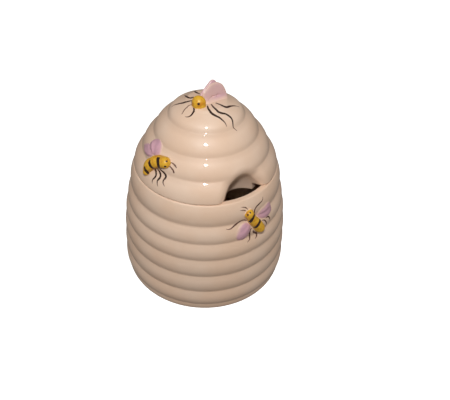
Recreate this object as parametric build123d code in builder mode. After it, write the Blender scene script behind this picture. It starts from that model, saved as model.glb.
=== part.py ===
"""Beehive honey pot: a ringed ceramic pot, a lift-off lid with a dipper notch, and three bees.

The origin is the centre of the foot on the table, +Z is up, and the notch faces -Y.
"""

import os
from math import cos, radians, sin, sqrt

from build123d import *

# ---- Driving dimensions: millimetres and degrees, outlines as (radius, height) ----

# Outside of the pot, from the foot up: foot corner, the grooves between its rings, the rim
FOOT_CORNER = (50.0, 0.0)
POT_GROOVES = [(50.6, 4.8), (50.4, 16.2), (49.9, 28.8), (49.0, 41.3), (47.4, 52.7), (44.9, 64.0)]
RIM_CORNER = (42.8, 77.7)
# Outside of the lid, from its seat up: the grooves between its rings, and its cap
LID_GROOVES = [(37.1, 89.7), (30.2, 100.5), (22.0, 110.6)]
CAP_SHOULDERS = [(20.9, 112.7), (18.9, 114.8), (13.5, 117.5)]
CAP_START_SLOPE = 66.0
CAP_TOP = 119.1

RING_BULGE = 1.4
FOOT_BULGE = 0.4
GROOVE_RADIUS = 1.6
EDGE_RADIUS = 1.2

# Inside of the pot
MOUTH_RADIUS = 39.5
WALL = 4.0
FLOOR_TOP = 5.6
FLOOR_CORNER_RADIUS = 9.0
FOOT_RING_INNER_RADIUS = 44.0
FOOT_RECESS = 1.8

# Inside of the lid: a flange that hangs in the pot's mouth, and the dome above it
FLANGE_CLEARANCE = 1.0
FLANGE_THICKNESS = 3.8
FLANGE_DROP = 5.0
LID_INSIDE = [(37.4, 83.2), (33.2, 89.6), (26.4, 98.6), (17.6, 106.6), (10.0, 111.4)]
LID_INSIDE_TOP = 113.6

# Dipper notch: a flattened ball, standing on edge, scoops it out of the lid's lowest ring,
# and a wall of clay stands around it
NOTCH_HALF_WIDTH = 17.2
NOTCH_REACH = 28.5
NOTCH_CENTRE_RADIUS = 55.6
NOTCH_CENTRE_HEIGHT = 69.0
NOTCH_EDGE_RADIUS = 5.5
NOTCH_WALL = 3.6
FLANGE_GAP_HALF_ANGLE = 32.0

# Bees on the wall. A frame is (angle from -Y towards +X, height), and places in it are
# (sideways, up the wall, out from the ring crests). Spines run from head to tail.
WING_RELIEF = 0.9
WING_ROOT_DEPTH = 3.4
WING_REACH = 3.0

POT_BEE_FRAME = (2.0, 64.0)
POT_BEE_SPINE = [(-2.6, 5.0, 0.7), (-0.4, 0.3, 0.5), (1.75, -2.95, 0.6), (4.2, -7.2, 0.5)]
POT_BEE_RADII = [2.7, 2.75, 3.1, 3.1]
POT_LEFT_WING_FRAME = (-6.0, 59.5)
POT_LEFT_WING = [
    (4.8, 1.8), (1.6, 4.3), (-2.6, 3.2), (-4.9, 0.4), (-5.7, -3.0), (-4.4, -6.0), (-1.4, -7.4),
    (1.6, -6.6), (3.4, -4.2), (4.6, -1.4),
]
POT_RIGHT_WING_FRAME = (14.0, 64.5)
POT_RIGHT_WING = [
    (-6.0, 0.0), (-4.4, 3.0), (-0.8, 4.2), (3.0, 4.9), (6.2, 3.0), (7.9, -0.8), (6.8, -3.6),
    (3.4, -5.0), (-0.8, -4.7), (-4.6, -2.6),
]

LID_BEE_FRAME = (-77.0, 94.0)
LID_BEE_SPINE = [
    (3.3, 1.8, 0.9), (-1.8, 0.0, 0.9), (-5.3, -2.8, 0.9), (-6.8, -6.0, 0.6), (-7.1, -8.7, 0.3),
]
LID_BEE_RADII = [3.0, 3.6, 3.5, 2.9, 1.9]
LID_FRONT_WING_FRAME = (-89.0, 99.3)
LID_FRONT_WING = [
    (2.6, -4.6), (-1.4, -5.3), (-5.2, -4.7), (-7.6, -3.0), (-8.0, -0.6), (-6.3, 2.5), (-2.4, 4.2),
    (1.0, 3.3), (3.9, 0.4), (5.1, -2.4),
]
LID_REAR_WING_FRAME = (-98.0, 95.2)
LID_REAR_WING = [
    (5.8, -0.4), (3.3, -3.0), (-0.6, -4.4), (-4.6, -4.1), (-8.2, -2.4), (-9.5, -0.8), (-7.2, 1.0),
    (-3.6, 2.5), (-0.6, 2.4), (2.4, 1.4),
]

# The bee on top of the lid is its handle: its spine is in x, y and z, from head to tail
KNOB_BEE_SPINE = [
    (-6.6, -2.6, 120.6), (-3.4, -0.4, 120.0), (0.5, 0.7, 119.9), (5.5, 0.8, 119.4),
    (10.3, 0.8, 117.9),
]
KNOB_BEE_RADII = [4.05, 2.0, 2.0, 2.0, 1.7]
# Its wings stand up on both sides of its back, outlined as (along X, up from their foot), and
# their middle planes are given as (Y at that foot, how many degrees they lean back)
KNOB_WING_THICKNESS = 2.2
KNOB_WING_EDGE_RADIUS = 0.8
KNOB_WING_FOOT = 117.8
KNOB_NEAR_WING_FRAME = (-2.4, 12.0)
KNOB_NEAR_WING = [
    (-0.8, -2.2), (-2.6, 0.5), (-3.6, 4.0), (-3.3, 6.6), (-1.1, 8.6), (1.8, 10.6), (4.6, 11.0),
    (7.1, 10.4), (9.6, 8.6), (11.2, 5.6), (12.1, 2.2), (12.2, -0.6), (10.4, -3.0),
]
KNOB_FAR_WING_FRAME = (3.5, 5.0)
KNOB_FAR_WING = [
    (-1.8, -1.5), (-2.0, 1.6), (-0.9, 3.9), (1.5, 6.0), (3.7, 8.0), (5.6, 9.5), (7.0, 9.6),
    (8.5, 8.7), (10.6, 5.6), (12.4, 1.6), (11.6, -3.0),
]

RIM_HEIGHT = RIM_CORNER[1]
FLANGE_OUTER_RADIUS = MOUTH_RADIUS - FLANGE_CLEARANCE
FLANGE_INNER_RADIUS = FLANGE_OUTER_RADIUS - FLANGE_THICKNESS
FLANGE_MIDDLE_RADIUS = (FLANGE_OUTER_RADIUS + FLANGE_INNER_RADIUS) / 2
FLANGE_BOTTOM = RIM_HEIGHT - FLANGE_DROP


# ---- Shared helpers ----


def draw_rings(corners, bulge):
    """Draw an arc that bulges outward from each corner to the next, in the open BuildLine."""
    for low, high in zip(corners, corners[1:]):
        SagittaArc(low, high, -bulge)


def corners_at(sketch, places):
    """The vertices of a section that lie at the given (radius, height) places."""
    return [
        vertex
        for vertex in sketch.vertices()
        if any(abs(vertex.X - radius) + abs(vertex.Y - height) < 0.01 for radius, height in places)
    ]


def crest_radius(height):
    """How far out the crests of the rings reach at a height."""
    grooves = [*POT_GROOVES, RIM_CORNER, *LID_GROOVES]
    for (low_radius, low), (high_radius, high) in zip(grooves, grooves[1:]):
        if low <= height <= high:
            share = (height - low) / (high - low)
            return low_radius + share * (high_radius - low_radius) + RING_BULGE


def wall_plane(angle, height, depth=0.0):
    """A plane on the ring crests, or sunk below them: x sideways, y up the wall, z out."""
    turn = radians(angle)
    reach = crest_radius(height)
    half_span = 5.0
    lean = (crest_radius(height - half_span) - crest_radius(height + half_span)) / (2 * half_span)
    on_crests = Plane(
        origin=(reach * sin(turn), -reach * cos(turn), height),
        x_dir=(cos(turn), sin(turn), 0),
        z_dir=(sin(turn), -cos(turn), lean),
    )
    return on_crests.offset(-depth)


def knob_wing_plane(y, lean):
    """The upright middle plane of a wing of the bee on top: x along X, y up the wing."""
    tilt = radians(lean)
    return Plane(origin=(0, y, KNOB_WING_FOOT), x_dir=(1, 0, 0), z_dir=(0, -cos(tilt), sin(tilt)))


def body_sections(spine, radii):
    """Circles across a bee's spine, from its head to its tail, that close in round at both ends."""
    places = [Vector(*place) for place in spine]
    headings = [
        (after - before).normalized()
        for before, after in zip([places[0], *places], [*places[1:], places[-1]])
    ]
    end_shares = [0.96, 0.75, 0.4]
    stations = [
        (places[0] - headings[0] * radii[0] * share, headings[0], radii[0] * sqrt(1 - share**2))
        for share in end_shares
    ]
    stations += zip(places, headings, radii)
    stations += [
        (places[-1] + headings[-1] * radii[-1] * share, headings[-1], radii[-1] * sqrt(1 - share**2))
        for share in reversed(end_shares)
    ]
    sections = []
    for centre, heading, radius in stations:
        with BuildSketch(Plane(origin=centre, z_dir=heading)) as section:
            Circle(radius)
        sections.append(section.sketch)
    return sections


# ---- Pot ----

inner_wall = [(radius - WALL, height) for radius, height in reversed(POT_GROOVES[1:])]
inner_foot = (inner_wall[-1][0], FLOOR_TOP)

with BuildPart() as pot_shell:
    with BuildSketch(Plane.XZ) as pot_section:
        with BuildLine():
            draw_rings([FOOT_CORNER, POT_GROOVES[0]], FOOT_BULGE)
            draw_rings([*POT_GROOVES, RIM_CORNER], RING_BULGE)
            Line(RIM_CORNER, (MOUTH_RADIUS, RIM_HEIGHT))
            Spline((MOUTH_RADIUS, RIM_HEIGHT), *inner_wall)
            Polyline(
                inner_wall[-1],
                inner_foot,
                (0, FLOOR_TOP),
                (0, FOOT_RECESS),
                (FOOT_RING_INNER_RADIUS - FOOT_RECESS, FOOT_RECESS),
                (FOOT_RING_INNER_RADIUS, 0),
                FOOT_CORNER,
            )
        make_face()
        fillet(corners_at(pot_section, POT_GROOVES), GROOVE_RADIUS)
        fillet(corners_at(pot_section, [FOOT_CORNER, RIM_CORNER]), EDGE_RADIUS)
        fillet(corners_at(pot_section, [(MOUTH_RADIUS, RIM_HEIGHT)]), EDGE_RADIUS / 2)
        fillet(corners_at(pot_section, [inner_foot]), FLOOR_CORNER_RADIUS)
    revolve(axis=Axis.Z)
pot_shell.part.label = "pot_shell"


# ---- Lid ----

cap_slope = radians(CAP_START_SLOPE)
notch_centre = (0, -NOTCH_CENTRE_RADIUS, NOTCH_CENTRE_HEIGHT)


def build_notch_ball(thickness=0.0):
    """The flattened ball that scoops out the notch, or that ball grown by a thickness."""
    half_width = NOTCH_HALF_WIDTH + thickness
    reach = NOTCH_REACH + thickness
    with BuildPart() as ball:
        with BuildSketch(Plane(origin=notch_centre)):
            Ellipse(half_width, reach)
            with Locations((0, -reach)):
                Rectangle(2 * half_width, 2 * reach, mode=Mode.SUBTRACT)
        revolve(axis=Axis(notch_centre, (1, 0, 0)))
    return ball.part


with BuildPart() as lid_dome:
    with BuildSketch(Plane.XZ) as lid_section:
        with BuildLine():
            draw_rings([RIM_CORNER, *LID_GROOVES], RING_BULGE)
            Spline(
                LID_GROOVES[-1],
                *CAP_SHOULDERS,
                (0, CAP_TOP),
                tangents=[(-cos(cap_slope), sin(cap_slope)), (-1, 0)],
            )
            Polyline((0, CAP_TOP), (0, RIM_HEIGHT), RIM_CORNER)
        make_face()
        fillet(corners_at(lid_section, LID_GROOVES), GROOVE_RADIUS)
    revolve(axis=Axis.Z)

with BuildPart() as lid_hollow:
    with BuildSketch(Plane.XZ):
        with BuildLine():
            Spline(
                (FLANGE_INNER_RADIUS, RIM_HEIGHT),
                *LID_INSIDE,
                (0, LID_INSIDE_TOP),
                tangents=[(0, 1), (-1, 0)],
            )
            Polyline((0, LID_INSIDE_TOP), (0, RIM_HEIGHT), (FLANGE_INNER_RADIUS, RIM_HEIGHT))
        make_face()
    revolve(axis=Axis.Z)
    # The clay around the notch stands inside the hollow
    add(build_notch_ball(NOTCH_WALL), mode=Mode.SUBTRACT)

# The wall behind the notch hangs as low as the flange
with BuildPart() as notch_back:
    with BuildSketch(Plane.XY.offset(FLANGE_BOTTOM)):
        Circle(FLANGE_INNER_RADIUS)
    extrude(amount=FLANGE_DROP + 2 * EDGE_RADIUS)
    add(build_notch_ball(NOTCH_WALL), mode=Mode.INTERSECT)
    add(build_notch_ball(), mode=Mode.SUBTRACT)

with BuildPart() as lid_shell:
    add(lid_dome.part)
    add(build_notch_ball(), mode=Mode.SUBTRACT)
    notch_edges = [
        edge
        for edge in lid_shell.edges().filter_by(GeomType.BSPLINE)
        if edge.center().Y < -MOUTH_RADIUS + NOTCH_EDGE_RADIUS and edge.bounding_box().size.Z > 0.1
    ]
    fillet(notch_edges, NOTCH_EDGE_RADIUS)
    fillet(lid_shell.faces().sort_by(Axis.Z)[0].edges(), EDGE_RADIUS)
    add(lid_hollow.part, mode=Mode.SUBTRACT)
    # Locating flange, open in front of the notch
    with BuildSketch(Plane.XZ.rotated((0, 0, FLANGE_GAP_HALF_ANGLE - 90))):
        with Locations((FLANGE_MIDDLE_RADIUS, RIM_HEIGHT - FLANGE_DROP / 2)):
            Rectangle(FLANGE_THICKNESS, FLANGE_DROP)
    revolve(axis=Axis.Z, revolution_arc=360 - 2 * FLANGE_GAP_HALF_ANGLE)
    add(notch_back.part)
    flange_foot = lid_shell.faces().filter_by(Plane.XY).sort_by(Axis.Z)[:2]
    fillet(flange_foot.edges(), EDGE_RADIUS / 2)
lid_shell.part.label = "lid_shell"


# ---- Bees ----

# Everything within a wing's thickness of the ring crests
with BuildPart() as wing_layer:
    with BuildSketch(Plane.XZ):
        layer_line = [
            (radius + RING_BULGE + WING_RELIEF, height)
            for radius, height in [*POT_GROOVES, RIM_CORNER, *LID_GROOVES]
        ]
        with BuildLine():
            Spline(*layer_line)
            Polyline(layer_line[-1], (0, layer_line[-1][1]), (0, layer_line[0][1]), layer_line[0])
        make_face()
    revolve(axis=Axis.Z)


def build_wall_wing(frame, outline, carriers):
    """Add a low wing to the open BuildPart: it fills its outline from the wall out to the wing layer."""
    with BuildSketch(wall_plane(*frame, depth=WING_ROOT_DEPTH)) as petal:
        with BuildLine():
            Spline(*outline, periodic=True)
        make_face()
    extrude(petal.sketch, amount=WING_ROOT_DEPTH + WING_REACH)
    add(wing_layer.part, mode=Mode.INTERSECT)
    for carrier in carriers:
        add(carrier.part, mode=Mode.SUBTRACT)


def build_wall_bee(frame, spine, radii, carrier):
    """Add the head and body of a bee on the wall to the open BuildPart."""
    plane = wall_plane(*frame)
    loft(body_sections([plane.from_local_coords(place) for place in spine], radii))
    add(carrier.part, mode=Mode.SUBTRACT)


def build_knob_wing(frame, outline, carriers):
    """Add an upright wing of the bee on top to the open BuildPart."""
    with BuildSketch(knob_wing_plane(*frame)) as petal:
        with BuildLine():
            Spline(*outline, periodic=True)
        make_face()
    extrude(petal.sketch, amount=KNOB_WING_THICKNESS / 2, both=True)
    fillet(edges().group_by(SortBy.LENGTH)[-1], KNOB_WING_EDGE_RADIUS)
    for carrier in carriers:
        add(carrier.part, mode=Mode.SUBTRACT)


with BuildPart() as pot_bee_body:
    build_wall_bee(POT_BEE_FRAME, POT_BEE_SPINE, POT_BEE_RADII, pot_shell)
pot_bee_body.part.label = "pot_bee_body"

with BuildPart() as pot_bee_left_wing:
    build_wall_wing(POT_LEFT_WING_FRAME, POT_LEFT_WING, [pot_shell, pot_bee_body])
pot_bee_left_wing.part.label = "pot_bee_left_wing"

with BuildPart() as pot_bee_right_wing:
    build_wall_wing(POT_RIGHT_WING_FRAME, POT_RIGHT_WING, [pot_shell, pot_bee_body])
pot_bee_right_wing.part.label = "pot_bee_right_wing"

with BuildPart() as lid_bee_body:
    build_wall_bee(LID_BEE_FRAME, LID_BEE_SPINE, LID_BEE_RADII, lid_dome)
lid_bee_body.part.label = "lid_bee_body"

with BuildPart() as lid_bee_front_wing:
    build_wall_wing(LID_FRONT_WING_FRAME, LID_FRONT_WING, [lid_dome, lid_bee_body])
lid_bee_front_wing.part.label = "lid_bee_front_wing"

with BuildPart() as lid_bee_rear_wing:
    build_wall_wing(LID_REAR_WING_FRAME, LID_REAR_WING, [lid_dome, lid_bee_body, lid_bee_front_wing])
lid_bee_rear_wing.part.label = "lid_bee_rear_wing"

with BuildPart() as knob_bee_body:
    loft(body_sections(KNOB_BEE_SPINE, KNOB_BEE_RADII))
    add(lid_dome.part, mode=Mode.SUBTRACT)
knob_bee_body.part.label = "knob_bee_body"

with BuildPart() as knob_bee_near_wing:
    build_knob_wing(KNOB_NEAR_WING_FRAME, KNOB_NEAR_WING, [lid_dome, knob_bee_body])
knob_bee_near_wing.part.label = "knob_bee_near_wing"

with BuildPart() as knob_bee_far_wing:
    build_knob_wing(KNOB_FAR_WING_FRAME, KNOB_FAR_WING, [lid_dome, knob_bee_body])
knob_bee_far_wing.part.label = "knob_bee_far_wing"


# ---- One STEP file for each piece ----

os.makedirs("parts", exist_ok=True)
export_step(pot_shell.part, "parts/pot_shell.step")
export_step(lid_shell.part, "parts/lid_shell.step")
export_step(knob_bee_body.part, "parts/knob_bee_body.step")
export_step(knob_bee_near_wing.part, "parts/knob_bee_near_wing.step")
export_step(knob_bee_far_wing.part, "parts/knob_bee_far_wing.step")
export_step(lid_bee_body.part, "parts/lid_bee_body.step")
export_step(lid_bee_front_wing.part, "parts/lid_bee_front_wing.step")
export_step(lid_bee_rear_wing.part, "parts/lid_bee_rear_wing.step")
export_step(pot_bee_body.part, "parts/pot_bee_body.step")
export_step(pot_bee_left_wing.part, "parts/pot_bee_left_wing.step")
export_step(pot_bee_right_wing.part, "parts/pot_bee_right_wing.step")
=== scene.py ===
"""The looks of a beehive honey pot: glazed shells, modelled bees, brushed lines and a pale table.

Shapes are worked out in millimetres in the part's own frame: the origin is the centre of the foot,
+Z is up and the dipper notch faces -Y. make_piece turns them into metres, which the materials use
too. Angles round the hive are in degrees from -Y towards +X.
"""

import math

import bmesh
import bpy
import numpy as np
from mathutils import Matrix, Vector, noise
from mathutils.bvhtree import BVHTree


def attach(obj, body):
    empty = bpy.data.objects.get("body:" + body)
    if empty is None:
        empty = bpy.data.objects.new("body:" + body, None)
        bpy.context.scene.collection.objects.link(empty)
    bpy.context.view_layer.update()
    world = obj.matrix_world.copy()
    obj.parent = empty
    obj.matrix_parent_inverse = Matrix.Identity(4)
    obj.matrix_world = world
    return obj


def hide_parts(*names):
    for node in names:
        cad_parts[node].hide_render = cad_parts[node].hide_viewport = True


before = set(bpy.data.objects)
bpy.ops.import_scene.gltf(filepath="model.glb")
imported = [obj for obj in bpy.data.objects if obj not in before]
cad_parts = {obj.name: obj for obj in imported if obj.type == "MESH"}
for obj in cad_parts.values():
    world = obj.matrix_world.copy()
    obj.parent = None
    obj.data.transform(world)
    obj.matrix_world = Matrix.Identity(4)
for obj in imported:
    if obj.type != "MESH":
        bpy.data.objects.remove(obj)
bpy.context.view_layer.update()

MM = 0.001
UPWARD = Vector((0, 0, 1))

# ---- The hive's form, which the bees and the glaze follow ----

# The grooves between the rings as (radius, height), from the foot up, with the rim among them
POT_GROOVES = [(50.6, 4.8), (50.4, 16.2), (49.9, 28.8), (49.0, 41.3), (47.4, 52.7), (44.9, 64.0)]
RIM = (42.8, 77.7)
LID_GROOVES = [(37.1, 89.7), (30.2, 100.5), (22.0, 110.6)]
RING_BULGE = 1.4

# How far up and down the wall its lean is measured, and where rays start, clear of the hive
LEAN_SPAN = 5
BESIDE_HIVE = 90
ABOVE_HIVE = 200


def crest_radius(height):
    """How far out the crests of the rings reach at a height."""
    radii, heights = zip(*POT_GROOVES, RIM, *LID_GROOVES)
    return float(np.interp(height, heights, radii)) + RING_BULGE


class WallFrame:
    """A place on the hive's wall: x sideways, y up the wall and z out, from the ring crests."""

    def __init__(self, angle, height):
        turn = math.radians(angle)
        reach = crest_radius(height)
        narrowing = crest_radius(height - LEAN_SPAN) - crest_radius(height + LEAN_SPAN)
        lean = narrowing / (2 * LEAN_SPAN)
        self.origin = Vector((reach * math.sin(turn), -reach * math.cos(turn), height))
        self.side = Vector((math.cos(turn), math.sin(turn), 0))
        self.out = Vector((math.sin(turn), -math.cos(turn), lean)).normalized()
        self.up = self.out.cross(self.side)

    def point(self, x, y, z=0.0):
        """The point at those local coordinates."""
        return self.origin + self.side * x + self.up * y + self.out * z


class Skin:
    """The outside of some objects, which clay and paint are laid on."""

    def __init__(self, *objects):
        points, faces = [], []
        for thing in objects:
            first = len(points)
            points += [thing.matrix_world @ vertex.co / MM for vertex in thing.data.vertices]
            faces += [[first + index for index in face.vertices] for face in thing.data.polygons]
        self.tree = BVHTree.FromPolygons(points, faces)

    def cast(self, start, direction):
        """The first point that a ray meets, and the normal there."""
        point, normal, _, _ = self.tree.ray_cast(start, direction)
        return point, normal

    def wall(self, angle, height):
        """The outermost point at an angle and a height, and the normal there."""
        turn = math.radians(angle)
        out = Vector((math.sin(turn), -math.cos(turn), 0))
        return self.cast(out * BESIDE_HIVE + Vector((0, 0, height)), -out)

    def top(self, x, y):
        """The topmost point over a place, and the normal there."""
        return self.cast(Vector((x, y, ABOVE_HIVE)), -UPWARD)

    def nearest(self, point):
        """The nearest point of the skin, its normal, and the distance."""
        found, normal, _, distance = self.tree.find_nearest(point)
        return found, normal, distance


# ---- Curves and meshes ----

STEPS_PER_SPAN = 24
LOOP_OVERLAP = 3
LOOP_STEPS_PER_CORNER = 40


def smooth_line(points, count):
    """A Catmull-Rom line through the points, sampled count times at even steps."""
    ends = np.array(points, float)
    padded = np.vstack([2 * ends[0] - ends[1], ends, 2 * ends[-1] - ends[-2]])
    steps = np.linspace(0, 1, STEPS_PER_SPAN, endpoint=False)[:, None]
    runs = []
    for before, start, end, after in zip(padded, padded[1:], padded[2:], padded[3:]):
        runs.append(
            start
            + 0.5 * steps * (end - before)
            + steps**2 * (before - 2.5 * start + 2 * end - 0.5 * after)
            + steps**3 * (1.5 * (start - end) + 0.5 * (after - before))
        )
    line = np.vstack([*runs, ends[-1:]])
    lengths = np.concatenate([[0], np.cumsum(np.linalg.norm(np.diff(line, axis=0), axis=1))])
    even = np.linspace(0, lengths[-1], count)
    return np.stack([np.interp(even, lengths, column) for column in line.T], axis=1)


def smooth_loop(points, count):
    """A closed smooth line through the points, sampled count times."""
    wrapped = [*points[-LOOP_OVERLAP:], *points, *points[:LOOP_OVERLAP]]
    whole = smooth_line(wrapped, LOOP_STEPS_PER_CORNER * len(wrapped))
    half = len(whole) // 2
    from_first = np.linalg.norm(whole - points[0], axis=1)
    start = np.argmin(from_first[:half])
    end = half + np.argmin(from_first[half:])
    return smooth_line(whole[start : end + 1], count + 1)[:-1]


def ease(low, high, value):
    """0 below low, 1 above high, and a smooth step between."""
    share = np.clip((value - low) / (high - low), 0, 1)
    return share * share * (3 - 2 * share)


def rising(least, low, high, value):
    """least below low, 1 above high, and a smooth step between."""
    return least + (1 - least) * ease(low, high, value)


def bearing(way):
    """The direction of a step in a plane, in degrees."""
    return math.degrees(math.atan2(way[1], way[0]))


def tube_faces(rings, around):
    """The quads between rings of points, each ring closed, with both ends capped."""
    faces = []
    for ring in range(rings - 1):
        for step in range(around):
            a = ring * around + step
            b = ring * around + (step + 1) % around
            faces.append((a, b, b + around, a + around))
    faces.append(tuple(reversed(range(around))))
    faces.append(tuple(range((rings - 1) * around, rings * around)))
    return faces


def petal_faces(rings, around):
    """The quads of two sheets back to back, each of rings round a middle, joined at the rim."""
    count = rings * around
    faces = []
    for ring in range(rings - 1):
        for step in range(around):
            a, b = ring * around + step, ring * around + (step + 1) % around
            faces.append((a, b, b + around, a + around))
            faces.append((count + a, count + a + around, count + b + around, count + b))
    last = (rings - 1) * around
    for step in range(around):
        a, b = last + step, last + (step + 1) % around
        faces.append((a, b, count + b, count + a))
    return faces


def make_piece(name, points, faces, body, material, replaces=None, marks=None):
    """A smooth piece of the object from points in millimetres. marks are values at its points.

    body is the moving body that it rides on, and replaces is the part's node that it stands for.
    """
    mesh = bpy.data.meshes.new(name)
    mesh.from_pydata([tuple(point) for point in np.array(points, float) * MM], [], faces)
    mesh.validate()
    for title, values in (marks or {}).items():
        kind = "FLOAT" if np.ndim(values) == 1 else "FLOAT_VECTOR"
        attribute = mesh.attributes.new(title, kind, "POINT")
        attribute.data.foreach_set(
            "value" if kind == "FLOAT" else "vector", np.ravel(values).astype(np.float32)
        )
    mesh.polygons.foreach_set("use_smooth", [True] * len(mesh.polygons))
    mesh.materials.append(material)
    piece = bpy.data.objects.new(name, mesh)
    bpy.context.scene.collection.objects.link(piece)
    recalculate_normals(piece)
    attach(piece, body)
    if replaces:
        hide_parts(replaces)
    return piece


def recalculate_normals(piece):
    """Turn every face of a closed piece outward."""
    shape = bmesh.new()
    shape.from_mesh(piece.data)
    bmesh.ops.recalc_face_normals(shape, faces=shape.faces)
    shape.to_mesh(piece.data)
    shape.free()


# ---- Shader maths ----

# The places of the colour sockets of a Mix node, whose names it repeats for other kinds of data
MIX_SHARE, MIX_FIRST, MIX_SECOND = 0, 6, 7
MIX_COLOUR = 2


class Value:
    """A shader socket that ordinary arithmetic works on: each operator adds its Math node."""

    def __init__(self, shader, socket):
        self.shader = shader
        self.socket = socket

    def math(self, operation, *values):
        """A Math node on these values."""
        sockets = dict(enumerate(values))
        return self.shader.node("ShaderNodeMath", {"operation": operation}, sockets)

    def __add__(self, other):
        return self.math("ADD", self, other)

    def __radd__(self, other):
        return self.math("ADD", other, self)

    def __sub__(self, other):
        return self.math("SUBTRACT", self, other)

    def __rsub__(self, other):
        return self.math("SUBTRACT", other, self)

    def __mul__(self, other):
        return self.math("MULTIPLY", self, other)

    def __rmul__(self, other):
        return self.math("MULTIPLY", other, self)

    def __pow__(self, other):
        return self.math("POWER", self, other)

    def at_least(self, other):
        """The greater of the two."""
        return self.math("MAXIMUM", self, other)

    def at_most(self, other):
        """The lesser of the two."""
        return self.math("MINIMUM", self, other)

    def between(self, low, high):
        """0 at low, 1 at high, a smooth step between, and level beyond. low may be the greater."""
        ends = {"From Min": low, "From Max": high, "Value": self}
        return self.shader.node("ShaderNodeMapRange", {"interpolation_type": "SMOOTHSTEP"}, ends)


class Shader:
    """The node tree of one material, around one Principled shader."""

    def __init__(self, name, **constants):
        self.material = bpy.data.materials.new(name)
        self.material.use_nodes = True
        self.tree = self.material.node_tree
        self.surface = self.tree.nodes["Principled BSDF"]
        for socket, value in constants.items():
            self.surface.inputs[socket.replace("_", " ")].default_value = value

    def node(self, kind, settings, sockets, output=0):
        """Add a node: its type, its settings, and the values or links of its sockets."""
        made = self.tree.nodes.new(kind)
        for setting, value in settings.items():
            setattr(made, setting, value)
        for key, value in sockets.items():
            self.feed(made.inputs[key], value)
        return Value(self, made.outputs[output])

    def feed(self, socket, value):
        """Link or set one socket."""
        if isinstance(value, Value):
            self.tree.links.new(value.socket, socket)
        elif isinstance(value, tuple) and len(value) == 3 and socket.type == "RGBA":
            socket.default_value = (*value, 1)
        else:
            socket.default_value = value

    def place(self):
        """Where the point is in the part's frame, in metres, as it moves with its piece."""
        return self.node("ShaderNodeTexCoord", {}, {}, "Object")

    def mark(self, title, output="Fac"):
        """A value that a mesh carries at its points."""
        return self.node("ShaderNodeAttribute", {"attribute_name": title}, {}, output)

    def split(self, vector):
        """The x, y and z of a vector."""
        first = self.node("ShaderNodeSeparateXYZ", {}, {"Vector": vector})
        return [Value(self, output) for output in first.socket.node.outputs]

    def clouds(self, place, scale, detail=3.0, roughness=0.5):
        """Soft noise from 0 to 1 whose features are about 1 / scale metres wide."""
        sockets = {"Vector": place, "Scale": scale, "Detail": detail, "Roughness": roughness}
        return self.node("ShaderNodeTexNoise", {}, sockets)

    def mix(self, share, first, second):
        """A colour between two colours."""
        sockets = {MIX_SHARE: share, MIX_FIRST: first, MIX_SECOND: second}
        return self.node("ShaderNodeMix", {"data_type": "RGBA"}, sockets, MIX_COLOUR)

    def bump(self, height, distance, strength):
        """Let the surface rise and fall by height times distance, in metres."""
        sockets = {"Height": height, "Distance": distance, "Strength": strength}
        self.set("Normal", self.node("ShaderNodeBump", {}, sockets))

    def set(self, socket, value):
        """Feed a socket of the Principled shader."""
        self.feed(self.surface.inputs[socket], value)


# ---- Glazes and paints ----

CREAM = (0.80, 0.575, 0.42)
CREAM_THIN = (0.83, 0.63, 0.485)
CREAM_POOLED = (0.56, 0.385, 0.27)
BISCUIT = (0.80, 0.70, 0.60)
OCHRE = (0.76, 0.43, 0.025)
OCHRE_DEEP = (0.62, 0.25, 0.012)
MAUVE = (0.63, 0.365, 0.435)
MAUVE_DEEP = (0.47, 0.235, 0.37)
BROWN_BLACK = (0.03, 0.008, 0.003)
BROWN_THIN = (0.22, 0.10, 0.07)
TABLE_PALE = (0.93, 0.93, 0.93)
TABLE_PALEST = (0.95, 0.95, 0.95)
TABLE_GLOW = 0.85
GLAZE = {"Roughness": 0.5, "Coat_Weight": 0.6, "Coat_Roughness": 0.02, "Coat_IOR": 1.5}
DULL_GLAZE = {"Roughness": 0.5, "Coat_Weight": 0.25, "Coat_Roughness": 0.2, "Coat_IOR": 1.5}
BISCUIT_ROUGHNESS = 0.75

# Pooled glaze, in metres from the middle of a groove, and how brown it is, plainly and by clouds
POOL_EDGE = 0.0042
POOL_HEART = 0.0008
POOL_BROWN = 0.12
POOL_CLOUDING = 0.22

# Heights in metres: clay is bare below the first and glazed above the second, and the line wanders
BARE_BELOW = 0.0004
GLAZED_ABOVE = 0.0008
GLAZE_LINE_WANDER = 0.0008

# Ripples of the glaze in metres, how strongly they show, and the share of the finer ones
RIPPLE_DEPTH = 0.0006
RIPPLE_STRENGTH = 0.35
FINE_RIPPLES = 0.05

# Strokes of the brush on the wings: how close they lie across and along, and how uneven they are
STROKES_ACROSS = 2.4
STROKES_ALONG = 0.12
STROKE_CONTRAST = 1.2

# Where, in noise or in a mark, the first colour begins to give way to the second and has gone
THIN_PATCHES = (0.35, 0.7)
DEEP_PATCHES = (0.46, 0.68)
DEEP_STROKES = (0.6, 0.35)
OCHRE_EDGE = (0.2, 0.75)
LINE_LOAD = (0.25, 0.8)

# How much the edge of the ochre and the load of the line paint vary
OCHRE_EDGE_VARIATION = 0.5
LINE_LOAD_VARIATION = 0.35


def cream_glaze(shader):
    """The colour of the body glaze: softly clouded, and browner where it pooled in the grooves."""
    place = shader.place()
    x, y, z = shader.split(place)
    radius = (x * x + y * y) ** 0.5
    pooled = 0.0
    for groove_radius, groove_height in [*POT_GROOVES, *LID_GROOVES]:
        out = radius - groove_radius * MM
        up = z - groove_height * MM
        from_groove = (out * out + up * up) ** 0.5
        pooled = from_groove.between(POOL_EDGE, POOL_HEART) + pooled
    clouds = shader.clouds(place, scale=45, detail=4)
    colour = shader.mix(clouds.between(*THIN_PATCHES), CREAM, CREAM_THIN)
    brown = pooled * (POOL_BROWN + clouds * POOL_CLOUDING)
    return shader.mix(brown.at_most(1), colour, CREAM_POOLED)


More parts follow.
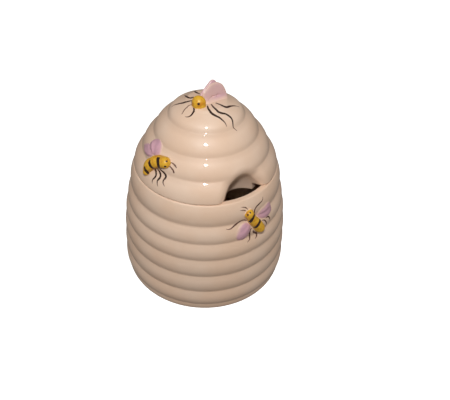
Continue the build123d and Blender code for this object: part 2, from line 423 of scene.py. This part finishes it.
def ripple(shader):
    """Give the glaze slow ripples and a finer skin over them."""
    place = shader.place()
    slow = shader.clouds(place, scale=90, detail=2)
    fine = shader.clouds(place, scale=600, detail=2)
    shader.bump(slow + fine * FINE_RIPPLES, RIPPLE_DEPTH, RIPPLE_STRENGTH)


def make_body_glaze():
    """Cream glaze over the hive, left off the ring that it stands on."""
    shader = Shader("cream glaze", **GLAZE)
    place = shader.place()
    height = shader.split(place)[2]
    wander = (shader.clouds(place, scale=160) - 0.5) * GLAZE_LINE_WANDER
    glazed = (height + wander).between(BARE_BELOW, GLAZED_ABOVE)
    shader.set("Base Color", shader.mix(glazed, BISCUIT, cream_glaze(shader)))
    smoother = BISCUIT_ROUGHNESS - GLAZE["Roughness"]
    shader.set("Roughness", BISCUIT_ROUGHNESS - glazed * smoother)
    shader.set("Coat Weight", glazed * GLAZE["Coat_Weight"])
    ripple(shader)
    return shader.material


def make_bee_glaze():
    """Ochre brushed over the bees' bodies: mottled, and thin where it meets the wall."""
    shader = Shader("ochre glaze", **DULL_GLAZE)
    place = shader.place()
    blotches = shader.clouds(place, scale=420, detail=4, roughness=0.6)
    colour = shader.mix(blotches.between(*DEEP_PATCHES), OCHRE, OCHRE_DEEP)
    variation = (shader.clouds(place, scale=700) - 0.5) * OCHRE_EDGE_VARIATION
    cover = (shader.mark("cover") + variation).between(*OCHRE_EDGE)
    shader.set("Base Color", shader.mix(cover, cream_glaze(shader), colour))
    ripple(shader)
    return shader.material


def make_wing_glaze():
    """Mauve washed over the wings in strokes from the root, fading into the cream at the edges."""
    shader = Shader("mauve glaze", **DULL_GLAZE)
    across, along, wash = shader.split(shader.mark("brush", "Vector"))
    strokes = {"X": across * STROKES_ACROSS, "Y": along * STROKES_ALONG}
    streaks = shader.clouds(shader.node("ShaderNodeCombineXYZ", {}, strokes), scale=1)
    cover = (wash + wash * (streaks - 0.5) * STROKE_CONTRAST).at_least(0).at_most(1)
    colour = shader.mix(streaks.between(*DEEP_STROKES) * wash, MAUVE, MAUVE_DEEP)
    shader.set("Base Color", shader.mix(cover, cream_glaze(shader), colour))
    ripple(shader)
    return shader.material


def make_line_paint():
    """Brown-black line paint, thinner and browner where the brush ran dry."""
    shader = Shader("brown-black line paint", **DULL_GLAZE)
    variation = (shader.clouds(shader.place(), scale=900) - 0.5) * LINE_LOAD_VARIATION
    load = (shader.mark("load") + variation).between(*LINE_LOAD)
    shader.set("Base Color", shader.mix(load, BROWN_THIN, BROWN_BLACK))
    return shader.material


def make_table_paint():
    """A plain pale table, bright enough to look white."""
    glow = {"Emission_Color": (1, 1, 1, 1), "Emission_Strength": TABLE_GLOW}
    shader = Shader("pale table", Roughness=0.6, **glow)
    clouds = shader.clouds(shader.place(), scale=6)
    shader.set("Base Color", shader.mix(clouds, TABLE_PALE, TABLE_PALEST))
    return shader.material


BODY_GLAZE = make_body_glaze()
BEE_GLAZE = make_bee_glaze()
WING_GLAZE = make_wing_glaze()
LINE_PAINT = make_line_paint()

# ---- Shells ----

pot_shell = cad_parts["pot_shell"]
lid_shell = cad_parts["lid_shell"]
for shell in (pot_shell, lid_shell):
    shell.data.materials.clear()
    shell.data.materials.append(BODY_GLAZE)
pot_skin = Skin(pot_shell)
lid_skin = Skin(lid_shell)


# ---- Clay: bodies and wings ----

# How far the wings on the wall reach down into it, and where rays towards it start
SUNK = 1.0
CLEAR_OF_WALL = 20

# Wings on the wall: the share of a groove's depth that they bridge, up to a depth, how full they
# stay towards the rim, less so where the wash is faded, and how the rim tucks into the wall
GROOVE_BRIDGING = 0.45
DEEPEST_GROOVE = 3.0
RIM_FULLNESS = 3.5
FADED_RIM_LOSS = 1.7
RIM_TUCK = 0.22
RIM_TUCK_SHARPNESS = 6

# The wash on them: how much in full and at the root, how far the root's reaches, and its edge
FULL_WASH = 0.9
ROOT_WASH = 0.75
ROOT_WASH_REACH = 2.5
WASH_EDGE = 0.14

# The knob's wings: the height of their foot, half their thickness and how round their rims are
KNOB_WING_FOOT = 117.8
KNOB_WING_HALF = 1.1
KNOB_WING_RIM = 7

# The wash low on them: how far it reaches from the root, how high it fans, and where it thins out
LOW_WASH_REACH = 12.5
LOW_WASH_BEARING = 14
LOW_WASH_FAN = 22
RIM_WASH = 0.6
RIM_WASH_WIDTH = 0.2
FOOT_WASH = 0.35
FOOT_WASH_HEIGHT = 1.5


def height_above(point, skin):
    """How far a point stands clear of a skin, and 0 inside it."""
    found, normal, distance = skin.nearest(point)
    return distance if (point - found).dot(normal) > 0 else 0.0


def flare_at_wall(points, middles, skin, height=1.1, spread=0.55):
    """Spread a piece where it meets what carries it, as slip and glaze fill the corner there."""
    flared = []
    for point, middle in zip(points, middles):
        point = Vector(point)
        found, normal, distance = skin.nearest(point)
        outside = (point - found).dot(normal) > 0
        share = max(0.0, 1 - distance / height) if outside else 1.0
        away = point - Vector(middle)
        away -= normal * away.dot(normal)
        if away.length > 0:
            away.normalize()
        flared.append(point + away * spread * share**2)
    return flared


class BeeBody:
    """The head and body of a bee: a bent, rounded tube that is pinched between its segments.

    spine and radii run from head to tail, and place turns a spine's numbers into a point. pinches
    are (share of the length, depth, width), and bare is how far up from the wall the ochre fades.
    """

    # How finely the skin, the spine and the profile along it are sampled
    rings = 72
    around = 56
    spine_steps = 60
    profile_steps = 240

    # How blunt the very ends are, how uneven the skin is, and how quickly that changes
    bluntness = 0.0004
    waver = 0.02
    waver_scale = 0.5

    def __init__(self, name, node, spine, radii, pinches, body, skin, place, out, bare=0.9):
        self.out = out
        self.lay_out([(*place(spot), radius) for spot, radius in zip(spine, radii)], pinches)
        points, middles = [], []
        for share in np.linspace(0, 1, self.rings):
            share = (1 - math.cos(math.pi * share)) / 2
            middle, size, side, up = self.section(share)
            for step in range(self.around):
                turn = 2 * math.pi * step / self.around
                spot = (middle + up * math.cos(turn) * size) * self.waver_scale
                reach = (up * math.cos(turn) + side * math.sin(turn)) * size
                points.append(middle + reach * (1 + self.waver * noise.noise(spot)))
                middles.append(middle)
        points = flare_at_wall(points, middles, skin)
        heights = np.array([height_above(point, skin) for point in points])
        marks = {"cover": ease(0.0, bare, heights)}
        faces = tube_faces(self.rings, self.around)
        self.piece = make_piece(name, points, faces, body, BEE_GLAZE, node, marks)
        self.skin = Skin(self.piece)

    def lay_out(self, spine, pinches):
        """Work out the middle, size and heading along the body, with rounded ends."""
        line = smooth_line(spine, self.spine_steps)
        centres, reach = line[:, :3], line[:, 3]
        steps = np.linalg.norm(np.diff(centres, axis=0), axis=1)
        lengths = np.concatenate([[0], np.cumsum(steps)])
        at = np.linspace(-reach[0], lengths[-1] + reach[-1], self.profile_steps)
        inside = np.clip(at, 0, lengths[-1])
        places = np.stack([np.interp(inside, lengths, column) for column in centres.T], axis=1)
        first = (centres[0] - centres[1]) / steps[0]
        last = (centres[-1] - centres[-2]) / steps[-1]
        beyond = at - inside
        before, after = np.maximum(-beyond, 0)[:, None], np.maximum(beyond, 0)[:, None]
        places += before * first + after * last
        sizes = np.interp(inside, lengths, reach)
        sizes = sizes * np.sqrt(np.maximum(1 - (np.abs(beyond) / sizes) ** 2, self.bluntness))
        self.shares = (at + reach[0]) / (lengths[-1] + reach[0] + reach[-1])
        for share, depth, width in pinches:
            sizes *= 1 - depth * np.exp(-(((self.shares - share) / width) ** 2))
        headings = np.gradient(places, axis=0)
        self.line = np.hstack([places, sizes[:, None], headings])

    def section(self, share):
        """The middle, radius, and sideways and outward directions at a share of the length."""
        row = [float(np.interp(share, self.shares, column)) for column in self.line.T]
        forward = Vector(row[4:]).normalized()
        side = forward.cross(self.out).normalized()
        return Vector(row[:3]), row[3], side, side.cross(forward)

    def surface(self, share, turn):
        """The point of the skin at a share of the length, turned sideways from straight out."""
        middle, _, side, up = self.section(share)
        angle = math.radians(turn)
        return self.skin.cast(middle, up * math.cos(angle) + side * math.sin(angle))[0]


def petal_spots(outline, rings, around):
    """Places over a petal in rings from its middle, each with its share of the way out.

    The third value is the direction of the place from the petal's middle, in degrees.
    """
    edge = smooth_loop(outline, around)
    middle = edge.mean(axis=0)
    for share in np.sin(np.linspace(0, 1, rings) * math.pi / 2):
        for corner in edge:
            yield share, middle + (corner - middle) * share, bearing(corner - middle)


def wall_wing(name, node, place, outline, root, faded, relief, ridges, body, skin):
    """A low wing on the wall. root is where it springs from the bee; ridges fan out from there.

    Each ridge is (degrees round the root, height, width in degrees). faded is (degrees round the
    wing's middle, share of the way in) and says where the wash thins out.
    """
    rings, around = 22, 120
    local = WallFrame(*place)
    tops, bottoms, brush = [], [], []
    for share, spot, side in petal_spots(outline, rings, around):
        ground, _ = skin.cast(local.point(*spot, CLEAR_OF_WALL), -local.out)
        groove = max(0.0, -(ground - local.origin).dot(local.out))
        heading = bearing(spot - root)
        reach = float(np.linalg.norm(spot - root))
        fading = max(0.0, math.cos(math.radians(side - faded[0]))) ** 2
        swell = 1 - share ** (RIM_FULLNESS - FADED_RIM_LOSS * fading)
        ridge = sum(
            height * math.exp(-(((heading - angle + 180) % 360 - 180) / width) ** 2)
            for angle, height, width in ridges
        )
        bridge = GROOVE_BRIDGING * min(groove, DEEPEST_GROOVE)
        lift = (relief + bridge) * swell + ridge * swell - RIM_TUCK * share**RIM_TUCK_SHARPNESS
        tops.append(ground + local.out * lift)
        bottoms.append(ground - local.out * SUNK)
        by_root = ROOT_WASH * math.exp(-((reach / ROOT_WASH_REACH) ** 2))
        by_rim = FULL_WASH * ease(0.0, WASH_EDGE + faded[1] * fading, 1 - share)
        brush.append((math.radians(heading), reach, max(by_root, by_rim)))
    faces = petal_faces(rings, around)
    marks = {"brush": np.array([*brush, *brush])}
    points = [*tops, *bottoms]
    return make_piece(name, points, faces, body, WING_GLAZE, node, marks)


def distance_to_line(spot, start, end):
    """How far a place is from the line between two others."""
    along = np.subtract(end, start)
    share = np.clip(np.dot(spot - start, along) / np.dot(along, along), 0, 1)
    return float(np.linalg.norm(spot - start - share * along))


def upright_wing(name, node, y, lean, cup, outline, root, creases, wash, body, skin):
    """A thick petal that stands up from the top of the lid, outlined along X and up from its foot.

    lean is how many degrees it leans back from the notch, and cup how far its rim bends forward.
    Each crease is (start, end, depth, width). wash is how much mauve is on the wing and low on it.
    """
    rings, around = 30, 140
    tilt = math.radians(lean)
    origin = Vector((0, y, KNOB_WING_FOOT))
    up = Vector((0, math.sin(tilt), math.cos(tilt)))
    out = Vector((0, -math.cos(tilt), math.sin(tilt)))
    fronts, backs, brush, cores = [], [], [], []
    for share, spot, _ in petal_spots(outline, rings, around):
        core = origin + Vector((spot[0], 0, 0)) + up * spot[1]
        heading = bearing(spot - root)
        reach = float(np.linalg.norm(spot - root))
        half = KNOB_WING_HALF * math.sqrt(max(0.0, 1 - share**KNOB_WING_RIM))
        crease = sum(
            depth * math.exp(-((distance_to_line(spot, start, end) / width) ** 2))
            for start, end, depth, width in creases
        ) * (1 - share**4)
        bend = cup * (share**2 - 0.5)
        fronts.append(core + out * (half - crease + bend))
        backs.append(core + out * (-half - crease + bend))
        cores.append(core)
        fanned = max(0.0, (heading - LOW_WASH_BEARING) / LOW_WASH_FAN) ** 2
        low = math.exp(-((reach / LOW_WASH_REACH) ** 4) - fanned)
        cover = wash[0] + (wash[1] - wash[0]) * low
        cover *= rising(RIM_WASH, 0.0, RIM_WASH_WIDTH, 1 - share)
        cover *= rising(FOOT_WASH, 0.0, FOOT_WASH_HEIGHT, height_above(core, skin))
        brush.append((math.radians(heading), reach, cover))
    points = flare_at_wall([*fronts, *backs], [*cores, *cores], skin, height=2.6, spread=1.3)
    faces = petal_faces(rings, around)
    marks = {"brush": np.array([*brush, *brush])}
    return make_piece(name, points, faces, body, WING_GLAZE, node, marks)


# ---- Brushed lines ----

# The paint's thickness, how far the edges of a stroke dip under the skin, and how deep it reaches
PAINT_THICKNESS = 0.09
PAINT_EDGE_DIP = 0.03
PAINT_SUNK = 0.35

# Points across a stroke, and the distance between sections along it
POINTS_ACROSS = 7
SECTION_STEP = 0.35
FEWEST_SECTIONS = 8

# How much a hand wavers along a stroke, and how quickly
HAND_WAVER = 0.12
HAND_WAVER_SCALE = 0.9

# Rings of a dot as (share of its radius, share of the paint's thickness)
DOT_RINGS = [(0.04, 1.0), (0.35, 0.98), (0.65, 0.9), (0.88, 0.5), (1.0, -0.3), (0.8, -3.0)]
DOT_AROUND = 20


class Brush:
    """Collects lines and dots of paint that lie on a skin, and makes one piece of them."""

    def __init__(self, skin):
        self.skin = skin
        self.points = []
        self.faces = []
        self.loads = []

    def section(self, middle, side, half_width, load):
        """Add the points across a line, lying on the skin, and the points under them."""
        tops, bottoms = [], []
        for share in np.linspace(-1, 1, POINTS_ACROSS):
            ground, normal, _ = self.skin.nearest(middle + side * half_width * share)
            tops.append(ground + normal * (PAINT_THICKNESS * (1 - share**4) - PAINT_EDGE_DIP))
            bottoms.append(ground - normal * PAINT_SUNK)
        self.points += [*tops, *reversed(bottoms)]
        self.loads += [load] * (2 * POINTS_ACROSS)

    def line(self, path, width, start=0.55, end=0.2, fullest=0.4, load=0.5):
        """Add a stroke along a path: it swells to its width, then tapers and runs dry.

        start and end are shares of the width, and fullest is where along the stroke it is widest.
        """
        first = len(self.points)
        length = sum((after - before).length for before, after in zip(path, path[1:]))
        count = max(FEWEST_SECTIONS, int(length / SECTION_STEP))
        track = smooth_line([tuple(point) for point in path], count)
        for index, spot in enumerate(track):
            share = index / (count - 1)
            ground, normal, _ = self.skin.nearest(Vector(spot))
            before = Vector(track[max(index - 1, 0)])
            after = Vector(track[min(index + 1, count - 1)])
            side = normal.cross(after - before).normalized()
            if share < fullest:
                swell = start + (1 - start) * math.sin(share / fullest * math.pi / 2)
            else:
                past = (share - fullest) / (1 - fullest)
                swell = end + (1 - end) * math.cos(past * math.pi / 2)
            waver = 1 + HAND_WAVER * noise.noise(ground * HAND_WAVER_SCALE)
            self.section(ground, side, width / 2 * swell * waver, load * (0.5 + 0.5 * swell))
        self.close(first, count, 2 * POINTS_ACROSS)

    def dot(self, centre, radius):
        """Add a round dot of paint, a little domed."""
        first = len(self.points)
        ground, normal, _ = self.skin.nearest(centre)
        side = normal.orthogonal().normalized()
        other = normal.cross(side)
        for share, lift in DOT_RINGS:
            for step in range(DOT_AROUND):
                turn = 2 * math.pi * step / DOT_AROUND
                reach = side * math.cos(turn) + other * math.sin(turn)
                spot, up, _ = self.skin.nearest(ground + reach * radius * share)
                self.points.append(spot + up * PAINT_THICKNESS * lift)
                self.loads.append(1.0)
        self.close(first, len(DOT_RINGS), DOT_AROUND)

    def close(self, first, rings, around):
        """Add the faces of the rings of points from the first on."""
        for face in tube_faces(rings, around):
            self.faces.append(tuple(first + index for index in face))

    def make(self, name, body):
        """Make the piece of everything brushed so far."""
        marks = {"load": np.array(self.loads)}
        make_piece(name, self.points, self.faces, body, LINE_PAINT, marks=marks)


# How finely paths are laid out before a brush follows them
PATH_STEPS_PER_CORNER = 6
STRIPE_STEPS = 21


def wall_path(skin, corners):
    """A path on the wall through (angle, height) corners."""
    spots = smooth_line(corners, PATH_STEPS_PER_CORNER * len(corners))
    return [skin.wall(*spot)[0] for spot in spots]


def top_path(skin, corners):
    """A path on the top of the lid through (x, y) corners."""
    spots = smooth_line(corners, PATH_STEPS_PER_CORNER * len(corners))
    return [skin.top(*spot)[0] for spot in spots]


def stripe_path(bee, corners):
    """A path over a bee's back through (share of its length, turn) corners."""
    return [bee.surface(*spot) for spot in smooth_line(corners, STRIPE_STEPS)]


# ---- The bee on the pot ----

pot_wall = WallFrame(2.0, 64.0)
pot_bee = BeeBody(
    "pot_bee_clay_body",
    "pot_bee_body",
    spine=[(-2.6, 5.0, 0.7), (-0.4, 0.3, 0.5), (1.75, -2.95, 0.6), (4.2, -7.2, 0.5)],
    radii=[2.7, 2.75, 3.1, 3.1],
    pinches=[(0.24, 0.05, 0.05), (0.60, 0.06, 0.05)],
    body="pot",
    skin=pot_skin,
    place=lambda spot: pot_wall.point(*spot),
    out=pot_wall.out,
)
pot_left_wing = wall_wing(
    "pot_bee_clay_left_wing",
    "pot_bee_left_wing",
    place=(-6.0, 59.5),
    outline=[
        (4.8, 1.8), (1.6, 4.3), (-2.6, 3.2), (-4.9, 0.4), (-5.7, -3.0),
        (-4.4, -6.0), (-1.4, -7.4), (1.6, -6.6), (3.4, -4.2), (4.6, -1.4)],
    root=(5.2, 3.0),
    faded=(150, 0.45),
    relief=0.8,
    ridges=[(-135, 0.25, 12)],
    body="pot",
    skin=pot_skin,
)
pot_right_wing = wall_wing(
    "pot_bee_clay_right_wing",
    "pot_bee_right_wing",
    place=(14.0, 64.5),
    outline=[
        (-6.0, 0.0), (-4.4, 3.0), (-0.8, 4.2), (3.0, 4.9), (6.2, 3.0),
        (7.9, -0.8), (6.8, -3.6), (3.4, -5.0), (-0.8, -4.7), (-4.6, -2.6)],
    root=(-7.5, 0.5),
    faded=(115, 0.6),
    relief=0.8,
    ridges=[(2, 0.3, 8)],
    body="pot",
    skin=pot_skin,
)
brush = Brush(Skin(pot_shell, pot_left_wing, pot_right_wing))
for width, corners in [
    (1.2, [(4.4, 66.7), (4.2, 69.2), (5.9, 70.9), (9.0, 71.8), (11.6, 72.4), (12.9, 73.3),
           (13.3, 74.5)]),
    (1.26, [(-2.4, 63.8), (-5.0, 65.0), (-7.8, 64.9), (-10.5, 63.9), (-13.1, 63.0),
            (-15.3, 62.2), (-17.3, 62.1), (-18.8, 62.6)]),
    (1.38, [(0.5, 58.6), (-0.9, 57.6), (-1.3, 55.6), (-0.8, 52.8), (-1.3, 51.1), (-2.5, 50.5),
            (-3.5, 50.0)]),
    (1.56, [(1.6, 56.4), (2.7, 54.5), (5.2, 52.4), (4.9, 51.2), (3.9, 50.5), (3.0, 49.9)]),
    (0.96, [(10.6, 59.7), (12.5, 59.0), (14.2, 57.2), (15.3, 54.9), (15.0, 53.2), (13.4, 52.4)]),
    (1.08, [(14.3, 59.5), (17.4, 59.0), (19.0, 56.7), (19.1, 54.8)]),
]:
    brush.line(wall_path(brush.skin, corners), width, load=0.6)
brush.make("pot_bee_painted_legs", "pot")
brush = Brush(Skin(pot_shell, pot_bee.piece))
for corners in [
    [(-2.0, 71.9), (-2.9, 73.0), (-4.3, 73.9), (-7.2, 74.6)],
    [(-3.5, 71.3), (-4.2, 71.9), (-5.6, 72.4), (-8.3, 72.9)],
]:
    brush.line(wall_path(brush.skin, corners), 0.7)
brush.make("pot_bee_painted_feelers", "pot")
brush = Brush(pot_bee.skin)
for corners in [
    [(0.20, -85), (0.192, -37), (0.20, -10), (0.23, 15), (0.29, 46), (0.35, 80)],
    [(0.60, -85), (0.562, -41), (0.55, -10), (0.568, 20), (0.60, 50), (0.625, 80)],
]:
    brush.line(stripe_path(pot_bee, corners), 2.3, start=0.85, end=0.8, load=1)
brush.make("pot_bee_painted_stripes", "pot")
brush = Brush(pot_bee.skin)
brush.dot(pot_bee.surface(0.03, -9), 0.6)
brush.dot(pot_bee.surface(0.042, 50), 0.6)
brush.make("pot_bee_painted_eyes", "pot")

# ---- The bee on the side of the lid ----

lid_wall = WallFrame(-77.0, 94.0)
lid_bee = BeeBody(
    "lid_bee_clay_body",
    "lid_bee_body",
    spine=[(3.3, 1.8, 0.9), (-1.8, 0.0, 0.9), (-5.3, -2.8, 0.9), (-6.8, -6.0, 0.6),
           (-7.1, -8.7, 0.3)],
    radii=[3.15, 3.6, 3.5, 2.9, 1.9],
    pinches=[(0.28, 0.04, 0.04), (0.56, 0.08, 0.05), (0.82, 0.06, 0.04)],
    body="lid",
    skin=lid_skin,
    place=lambda spot: lid_wall.point(*spot),
    out=lid_wall.out,
)
wall_wing(
    "lid_bee_clay_front_wing",
    "lid_bee_front_wing",
    place=(-89.0, 99.3),
    outline=[
        (2.6, -4.6), (-1.4, -5.3), (-5.2, -4.7), (-7.6, -3.0), (-8.0, -0.6),
        (-6.3, 2.5), (-2.4, 4.2), (1.0, 3.3), (3.9, 0.4), (5.1, -2.4)],
    root=(1.5, -6.5),
    faded=(20, 0.22),
    relief=0.9,
    ridges=[(116, -0.12, 8), (138, 0.45, 8)],
    body="lid",
    skin=lid_skin,
)
wall_wing(
    "lid_bee_clay_rear_wing",
    "lid_bee_rear_wing",
    place=(-98.0, 95.2),
    outline=[
        (5.8, -0.4), (3.3, -3.0), (-0.6, -4.4), (-4.6, -4.1), (-8.2, -2.4),
        (-9.5, -0.8), (-7.2, 1.0), (-3.6, 2.5), (-0.6, 2.4), (2.4, 1.4)],
    root=(6.5, -1.2),
    faded=(170, 0.4),
    relief=0.7,
    ridges=[(-170, 0.3, 9)],
    body="lid",
    skin=lid_skin,
)
brush = Brush(lid_skin)
for corners in [
    [(-83.2, 89.0), (-80.3, 88.9), (-78.1, 87.8), (-77.6, 86.6), (-78.9, 84.8), (-79.0, 83.5),
     (-78.3, 82.6)],
    [(-79.2, 89.7), (-76.4, 89.4), (-73.8, 88.5), (-73.2, 87.2), (-74.3, 85.6), (-73.7, 84.1),
     (-72.4, 82.8)],
    [(-76.6, 90.5), (-72.4, 90.1), (-69.2, 89.3), (-68.2, 88.5), (-69.1, 86.9), (-68.6, 85.7),
     (-66.5, 84.5)],
]:
    brush.line(wall_path(lid_skin, corners), 1.4, load=0.75)
brush.make("lid_bee_painted_legs", "lid")
brush = Brush(Skin(lid_shell, lid_bee.piece))
for width, fullest, corners in [
    (1.0, 0.7, [(-66.6, 96.6), (-64.3, 96.4), (-62.0, 95.9), (-60.0, 95.0)]),
    (1.1, 0.8, [(-67.2, 94.8), (-64.6, 94.1), (-62.7, 93.3), (-61.6, 92.0)]),
]:
    brush.line(wall_path(brush.skin, corners), width, start=0.4, end=0.7, fullest=fullest)
brush.make("lid_bee_painted_feelers", "lid")
brush = Brush(lid_bee.skin)
for start, end, corners in [
    (0.95, 0.6, [(0.292, 46), (0.283, 25), (0.258, -8), (0.255, -36), (0.285, -72), (0.322, -108)]),
    (0.5, 0.5, [(0.523, 20), (0.532, 10), (0.548, -2), (0.558, -33), (0.555, -61), (0.56, -95)]),
    (0.5, 0.35, [(0.742, 4), (0.76, -2), (0.79, -6), (0.845, -33), (0.898, -75), (0.925, -98)]),
]:
    brush.line(stripe_path(lid_bee, corners), 2.4, start=start, end=end, load=1)
brush.make("lid_bee_painted_stripes", "lid")
brush = Brush(lid_bee.skin)
brush.dot(lid_bee.surface(0.035, 25), 0.6)
brush.dot(lid_bee.surface(0.068, -52), 0.7)
brush.make("lid_bee_painted_eyes", "lid")

# ---- The bee on top of the lid ----

knob_bee = BeeBody(
    "knob_bee_clay_body",
    "knob_bee_body",
    spine=[(-6.6, -2.6, 120.6), (-3.4, -0.4, 120.0), (0.5, 0.7, 119.9), (5.5, 0.8, 119.4),
           (10.3, 0.8, 117.9)],
    radii=[4.05, 2.0, 2.0, 2.0, 1.7],
    pinches=[],
    body="lid",
    skin=lid_skin,
    place=Vector,
    out=UPWARD,
    bare=0.25,
)
upright_wing(
    "knob_bee_clay_near_wing",
    "knob_bee_near_wing",
    y=-2.4,
    lean=12.0,
    cup=0.4,
    outline=[
        (-0.8, -2.2), (-2.6, 0.5), (-3.6, 4.0), (-3.3, 6.6), (-1.1, 8.6), (1.8, 10.6), (4.6, 11.0),
        (7.1, 10.4), (9.6, 8.6), (11.2, 5.6), (12.1, 2.2), (12.2, -0.6), (10.4, -3.0)],
    root=(-1.5, -1.0),
    creases=[
        ((-0.3, 2.7), (2.5, 3.5), 0.4, 0.6),
        ((2.5, 3.5), (6.6, 3.1), 0.35, 0.6),
        ((5.3, 3.4), (5.8, 3.4), 0.4, 0.6),
        ((0.2, -0.7), (3.1, -1.3), 0.3, 0.5),
    ],
    wash=(0.55, 0.92),
    body="lid",
    skin=lid_skin,
)
upright_wing(
    "knob_bee_clay_far_wing",
    "knob_bee_far_wing",
    y=3.5,
    lean=5.0,
    cup=-0.4,
    outline=[
        (-1.8, -1.5), (-2.0, 1.6), (-0.9, 3.9), (1.5, 6.0), (3.7, 8.0), (5.6, 9.5), (7.0, 9.6),
        (8.5, 8.7), (10.6, 5.6), (12.4, 1.6), (11.6, -3.0)],
    root=(-1.0, -1.0),
    creases=[((0.5, 1.5), (8.0, 6.0), 0.2, 1.2)],
    # Full, deepest wash all over: the wing's own mauve, laid on heavier here as painted shade,
    # darkening the far wing whose top is turned from the light
    wash=(1.0, 1.0),
    body="lid",
    skin=lid_skin,
)
brush = Brush(lid_skin)
for corners in [
    [(-6.4, 2.9), (-8.3, 3.6), (-10.7, 4.4), (-12.5, 6.9), (-14.3, 8.8), (-15.6, 10.1),
     (-16.7, 10.0)],
    [(-2.9, 5.2), (-5.1, 6.0), (-6.8, 6.3), (-7.4, 8.4), (-6.6, 11.3), (-5.9, 14.1)],
    [(0.1, 7.1), (-0.5, 9.2), (-0.5, 11.3), (0.3, 13.4)],
    [(-3.3, -5.7), (-4.5, -8.5), (-4.7, -11.5), (-3.5, -13.9), (-2.2, -15.7), (-1.4, -17.6),
     (-0.7, -19.4), (-0.6, -20.8)],
    [(-0.6, -5.6), (-1.2, -8.6), (-1.0, -12.1), (0.4, -13.7), (2.5, -15.0), (3.8, -16.8),
     (4.3, -18.7), (3.8, -20.2), (3.4, -21.3), (4.1, -22.1), (4.6, -23.3)],
    [(2.2, -5.7), (3.3, -8.2), (4.3, -10.5), (6.0, -11.2), (9.0, -10.6), (12.2, -10.4),
     (14.7, -11.0)],
]:
    brush.line(top_path(lid_skin, corners), 1.55, load=0.78)
brush.make("knob_bee_painted_legs", "lid")
brush = Brush(lid_skin)
for width, end, load, corners in [
    (0.8, 0.6, 0.5, [(-9.0, -0.1), (-10.3, 0.1), (-12.4, 0.3), (-14.2, 0.1), (-16.0, -0.8),
                     (-17.1, -1.4)]),
    (1.3, 0.3, 0.8, [(-9.6, -1.4), (-10.3, -2.8), (-11.2, -4.6), (-13.0, -5.8), (-14.8, -6.1),
                     (-16.2, -5.3), (-16.7, -4.3)]),
]:
    brush.line(top_path(lid_skin, corners), width, end=end, load=load)
brush.make("knob_bee_painted_feelers", "lid")
brush = Brush(knob_bee.skin)
brush.dot(knob_bee.surface(0.01, 59), 0.8)
brush.dot(knob_bee.surface(0.09, -92), 0.8)
brush.make("knob_bee_painted_eyes", "lid")

# ---- Table, light and camera ----

TABLE_SIZE = 6
HIVE_MIDDLE = Vector((0, 0, 0.06))
ROOM_COLOUR = (1, 0.9, 0.82, 1)
ROOM_STRENGTH = 0.2

CAMERA_AZIMUTH = -34
CAMERA_ELEVATION = 38.96
CAMERA_ROLL = 0.98
CAMERA_DISTANCE = 0.35
CAMERA_LENS = 45.06
CAMERA_SENSOR = 36
CAMERA_SHIFT = (0.0441, -0.0397)
CAMERA_NEAREST = 0.01


def towards(azimuth, elevation):
    """The direction from the hive at an angle and so many degrees up."""
    turn, rise = math.radians(azimuth), math.radians(elevation)
    level = math.cos(rise)
    return Vector((math.sin(turn) * level, -math.cos(turn) * level, math.sin(rise)))


def make_table():
    """A broad pale plane under the foot."""
    bpy.ops.mesh.primitive_plane_add(size=TABLE_SIZE, location=(0, 0, 0))
    table = bpy.context.object
    table.name = "table"
    table.data.materials.append(make_table_paint())
    table.visible_diffuse = False
    table.visible_glossy = False


def make_light(name, azimuth, elevation, distance, width, height, power, mirrored=True):
    """A rectangular light aimed at the hive's middle. mirrored says if the glaze reflects it."""
    lamp = bpy.data.lights.new(name, "AREA")
    lamp.shape = "RECTANGLE"
    lamp.size = width
    lamp.size_y = height
    lamp.energy = power
    holder = bpy.data.objects.new(name, lamp)
    holder.visible_glossy = mirrored
    bpy.context.scene.collection.objects.link(holder)
    back = towards(azimuth, elevation)
    holder.location = HIVE_MIDDLE + back * distance
    holder.rotation_mode = "QUATERNION"
    holder.rotation_quaternion = (-back).to_track_quat("-Z", "Y")


def make_room():
    """Faint warm light from all round."""
    room = bpy.data.worlds.new("room")
    room.use_nodes = True
    light = room.node_tree.nodes["Background"]
    light.inputs["Color"].default_value = ROOM_COLOUR
    light.inputs["Strength"].default_value = ROOM_STRENGTH
    bpy.context.scene.world = room


def make_camera():
    """A camera that looks down on the hive's notch from the left."""
    turn, roll = math.radians(CAMERA_AZIMUTH), math.radians(CAMERA_ROLL)
    back = towards(CAMERA_AZIMUTH, CAMERA_ELEVATION)
    level = Vector((math.cos(turn), math.sin(turn), 0))
    above = back.cross(level)
    right = level * math.cos(roll) + above * math.sin(roll)
    up = above * math.cos(roll) - level * math.sin(roll)
    camera = bpy.data.objects.new("camera", bpy.data.cameras.new("camera"))
    bpy.context.scene.collection.objects.link(camera)
    facing = Matrix((right, up, back)).transposed().to_4x4()
    camera.matrix_world = Matrix.Translation(HIVE_MIDDLE + back * CAMERA_DISTANCE) @ facing
    camera.data.lens = CAMERA_LENS
    camera.data.sensor_width = CAMERA_SENSOR
    camera.data.shift_x, camera.data.shift_y = CAMERA_SHIFT
    camera.data.clip_start = CAMERA_NEAREST
    bpy.context.scene.camera = camera


make_table()
make_light("flash above the camera", azimuth=-34, elevation=51, distance=0.45,
           width=0.031, height=0.044, power=1.27)
make_light("soft left", azimuth=-120, elevation=20, distance=1.5,
           width=1.2, height=1.2, power=2.5, mirrored=False)
make_light("soft right", azimuth=60, elevation=22, distance=1.5,
           width=1.2, height=1.2, power=2.2, mirrored=False)
make_room()
bpy.context.scene.view_settings.view_transform = "Standard"
make_camera()
